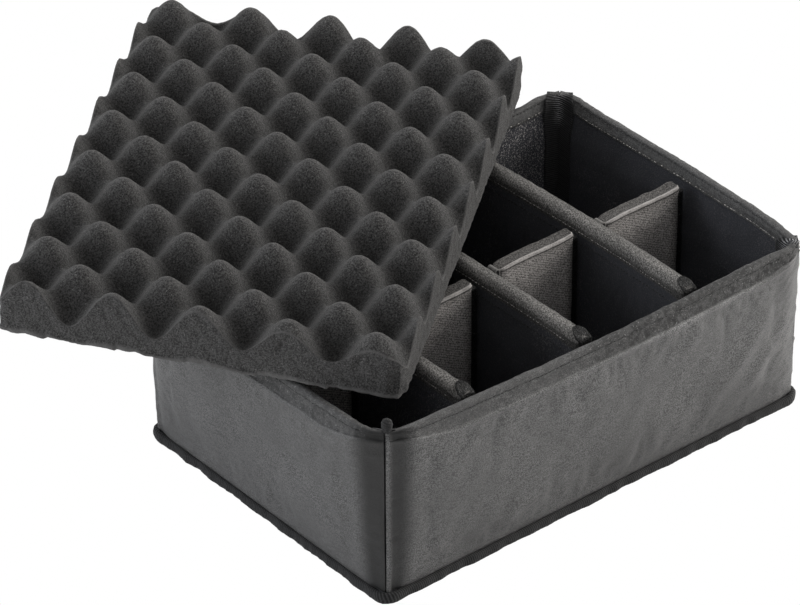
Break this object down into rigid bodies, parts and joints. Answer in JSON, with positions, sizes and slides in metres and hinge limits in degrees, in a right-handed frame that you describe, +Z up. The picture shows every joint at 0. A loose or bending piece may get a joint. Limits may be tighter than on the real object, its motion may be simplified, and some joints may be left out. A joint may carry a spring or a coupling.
{
  "type": "padded case divider set",
  "caption": "Padded fabric divider tray for a carrying case, with hook-and-loop dividers that lift out or shift along their lanes, and a loose egg-crate foam pad for the lid.",
  "frame": {"origin": "middle of the tray's flat underside, which rests on the floor of the case", "axes": "+X along the long front wall towards the right, +Y from the front wall to the back wall, +Z up"},
  "size_m": [0.4999, 0.4951, 0.1913],
  "materials": {
    "nylon": "satin woven nylon over soft padding, dark grey",
    "velour": "brushed loop velour, nearly black",
    "knit": "fine knitted loop cloth, dark warm grey",
    "tape": "ribbed woven tape, black",
    "hook": "strip of small plastic hooks, black",
    "padding_foam": "closed-cell foam sheet, grey, sealed inside the cloth",
    "board": "stiff plastic board, sealed inside the cloth",
    "egg_foam": "open-cell foam with a fine grain, charcoal"
  },
  "bodies": {
    "tray": {"base_cover": "nylon", "base_board": "board", "base_lining": "velour", "base_binding": "tape", "front_wall_cover": "nylon", "front_wall_foam": "padding_foam", "front_wall_lining": "velour", "right_wall_cover": "nylon", "right_wall_foam": "padding_foam", "right_wall_lining": "velour", "back_wall_cover": "nylon", "back_wall_foam": "padding_foam", "back_wall_lining": "velour", "left_wall_cover": "nylon", "left_wall_foam": "padding_foam", "left_wall_lining": "velour", "front_left_corner_binding": "tape", "front_right_corner_binding": "tape", "back_right_corner_binding": "tape", "back_left_corner_binding": "tape"},
    "right_long_divider": {"right_long_divider_cover": "nylon", "right_long_divider_foam": "padding_foam", "right_long_divider_near_hook_strip": "hook", "right_long_divider_far_hook_strip": "hook"},
    "middle_long_divider": {"middle_long_divider_cover": "nylon", "middle_long_divider_foam": "padding_foam", "middle_long_divider_near_hook_strip": "hook", "middle_long_divider_far_hook_strip": "hook"},
    "left_long_divider": {"left_long_divider_cover": "nylon", "left_long_divider_foam": "padding_foam", "left_long_divider_near_hook_strip": "hook", "left_long_divider_far_hook_strip": "hook"},
    "right_cross_divider": {"right_cross_divider_cover": "knit", "right_cross_divider_foam": "padding_foam", "right_cross_divider_near_hook_strip": "hook", "right_cross_divider_far_hook_strip": "hook"},
    "right_middle_cross_divider": {"right_middle_cross_divider_cover": "knit", "right_middle_cross_divider_foam": "padding_foam", "right_middle_cross_divider_near_hook_strip": "hook", "right_middle_cross_divider_far_hook_strip": "hook"},
    "left_middle_cross_divider": {"left_middle_cross_divider_cover": "knit", "left_middle_cross_divider_foam": "padding_foam", "left_middle_cross_divider_near_hook_strip": "hook", "left_middle_cross_divider_far_hook_strip": "hook"},
    "left_cross_divider": {"left_cross_divider_cover": "knit", "left_cross_divider_foam": "padding_foam", "left_cross_divider_near_hook_strip": "hook", "left_cross_divider_far_hook_strip": "hook"},
    "lid_pad": {"lid_pad": "egg_foam"}
  },
  "joints": [
    {"name": "pad_lift", "type": "slide", "parent": "tray", "child": "lid_pad", "axis": [0, 0, 1], "range_m": [0, 0.3]},
    {"name": "right_long_divider_lift", "type": "slide", "parent": "tray", "child": "right_long_divider", "axis": [0, 0, 1], "range_m": [0, 0.15]},
    {"name": "middle_long_divider_lift", "type": "slide", "parent": "tray", "child": "middle_long_divider", "axis": [0, 0, 1], "range_m": [0, 0.15]},
    {"name": "left_long_divider_lift", "type": "slide", "parent": "tray", "child": "left_long_divider", "axis": [0, 0, 1], "range_m": [0, 0.15]},
    {"name": "right_cross_divider_shift", "type": "slide", "parent": "tray", "child": "right_cross_divider", "axis": [0, 1, 0], "range_m": [-0.09, 0.115]},
    {"name": "right_middle_cross_divider_shift", "type": "slide", "parent": "tray", "child": "right_middle_cross_divider", "axis": [0, 1, 0], "range_m": [-0.095, 0.115]},
    {"name": "left_middle_cross_divider_shift", "type": "slide", "parent": "tray", "child": "left_middle_cross_divider", "axis": [0, 1, 0], "range_m": [-0.09, 0.12]},
    {"name": "left_cross_divider_shift", "type": "slide", "parent": "tray", "child": "left_cross_divider", "axis": [0, 1, 0], "range_m": [-0.09, 0.115]}
  ],
  "couplings": [
    {"joint": "right_long_divider_lift", "follows": "pad_lift", "ratio": 0.5},
    {"joint": "middle_long_divider_lift", "follows": "pad_lift", "ratio": 0.5},
    {"joint": "left_long_divider_lift", "follows": "pad_lift", "ratio": 0.5}
  ]
}
